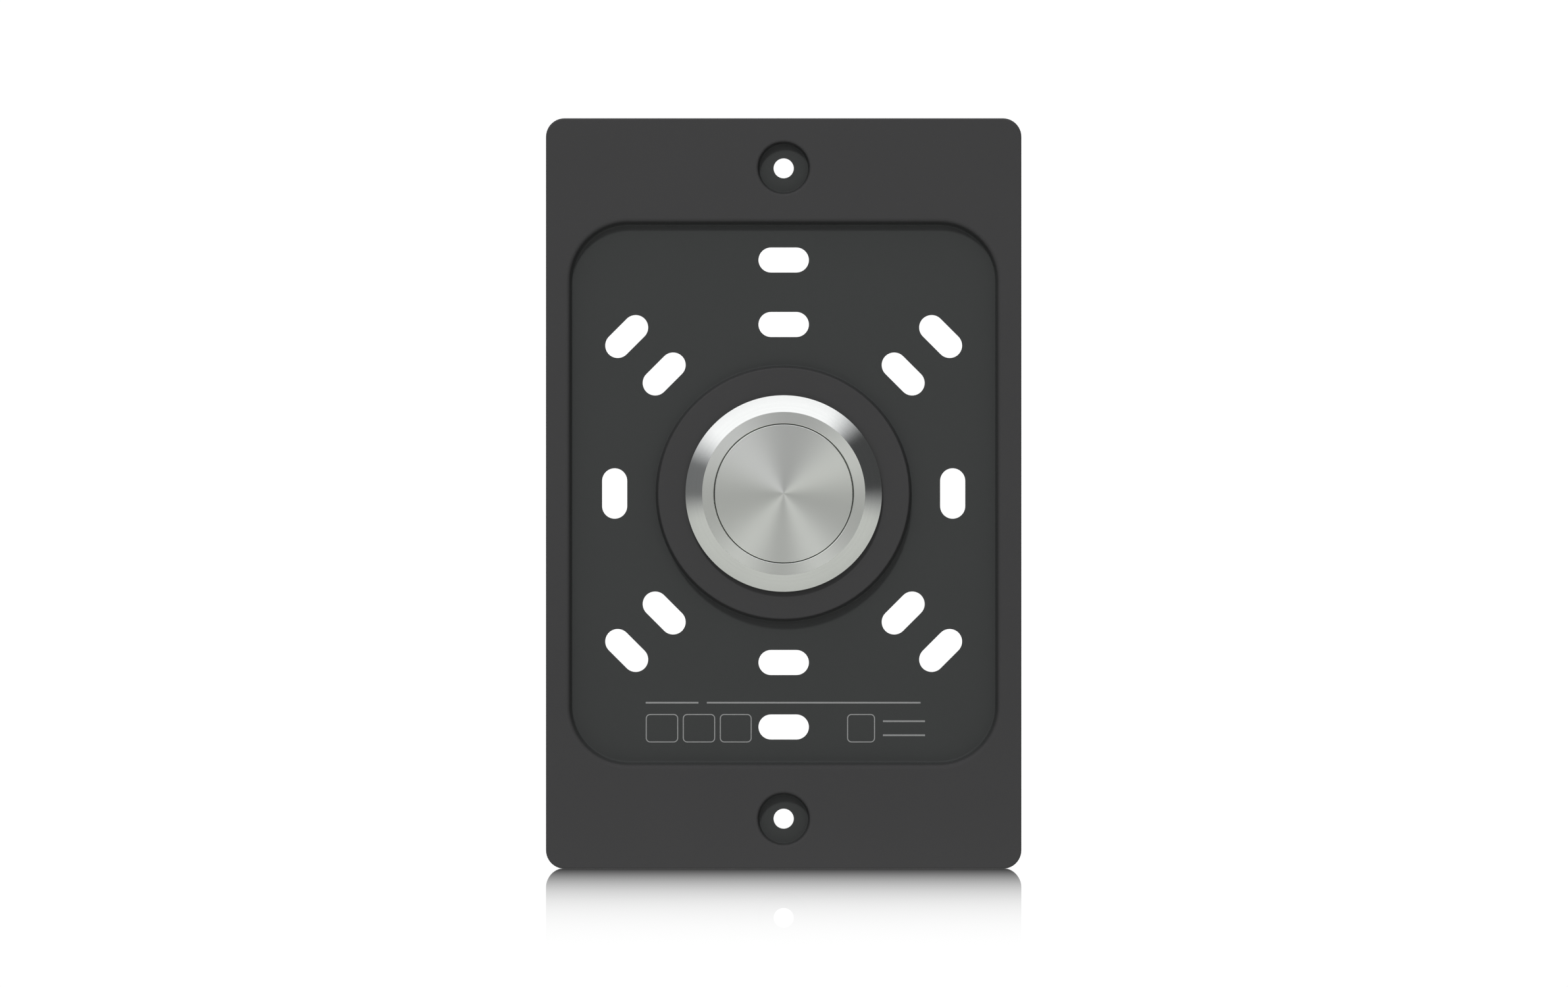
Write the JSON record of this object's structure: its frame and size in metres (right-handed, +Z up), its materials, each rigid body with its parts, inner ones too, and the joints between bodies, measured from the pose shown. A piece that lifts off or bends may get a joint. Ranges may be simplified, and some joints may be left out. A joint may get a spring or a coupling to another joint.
{
  "type": "wall plate push button",
  "caption": "Flat wall plate with slotted sunken panel and a large round stainless push button, spring return, screw terminals behind.",
  "frame": {"origin": "where the button's axis crosses the wall plane, which is the plate's rear face and the middle of the two counterbored holes", "axes": "+Z up along the plate's height, -Y out of the wall towards the person, +X to the right as seen from the front"},
  "size_m": [0.0848, 0.036, 0.1336],
  "materials": {
    "casting": "die-cast alloy under a matte dark grey powder coat",
    "stainless": "turned and circular brushed",
    "rubber": "smooth black elastomer",
    "dark_moulding": "moulded glass-filled nylon",
    "pale_moulding": "moulded acetal",
    "brass": "stamped strip",
    "silver": "silver alloy contact rivets",
    "plated_steel": "zinc plated",
    "spring_steel": "bright drawn wire and strip"
  },
  "bodies": {
    "plate": {"mounting_plate": "casting", "bezel_barrel": "stainless", "panel_seal": "rubber", "return_spring": "spring_steel", "guide_bush": "pale_moulding", "lock_washer": "plated_steel", "mounting_nut": "plated_steel", "contact_housing": "dark_moulding", "housing_circlip": "spring_steel", "carrier_spring": "spring_steel", "nc_contacts": "brass", "no_contacts": "brass", "fixed_tips": "silver", "terminal_base": "dark_moulding", "terminal_screws": "plated_steel", "terminal_clamps": "plated_steel", "housing_screws": "plated_steel"},
    "button": {"button_cap": "stainless", "cap_seal": "rubber", "retaining_ring": "spring_steel", "plunger": "pale_moulding", "contact_carrier": "pale_moulding", "bridge_springs": "spring_steel"},
    "bridge": {"contact_bridge": "brass", "bridge_tips": "silver"}
  },
  "joints": [
    {"name": "button_press", "type": "slide", "parent": "plate", "child": "button", "axis": [0, 1, 0], "range_m": [0, 0.0025], "stiffness_N_per_m": 800, "springref_m": -0.0025, "deforming": ["return_spring", "carrier_spring", "bridge_springs"]},
    {"name": "bridge_slide", "type": "slide", "parent": "plate", "child": "bridge", "axis": [0, 1, 0], "range_m": [0, 0.0015]}
  ],
  "couplings": [
    {"joint": "bridge_slide", "follows": "button_press", "ratio": 0.6}
  ]
}
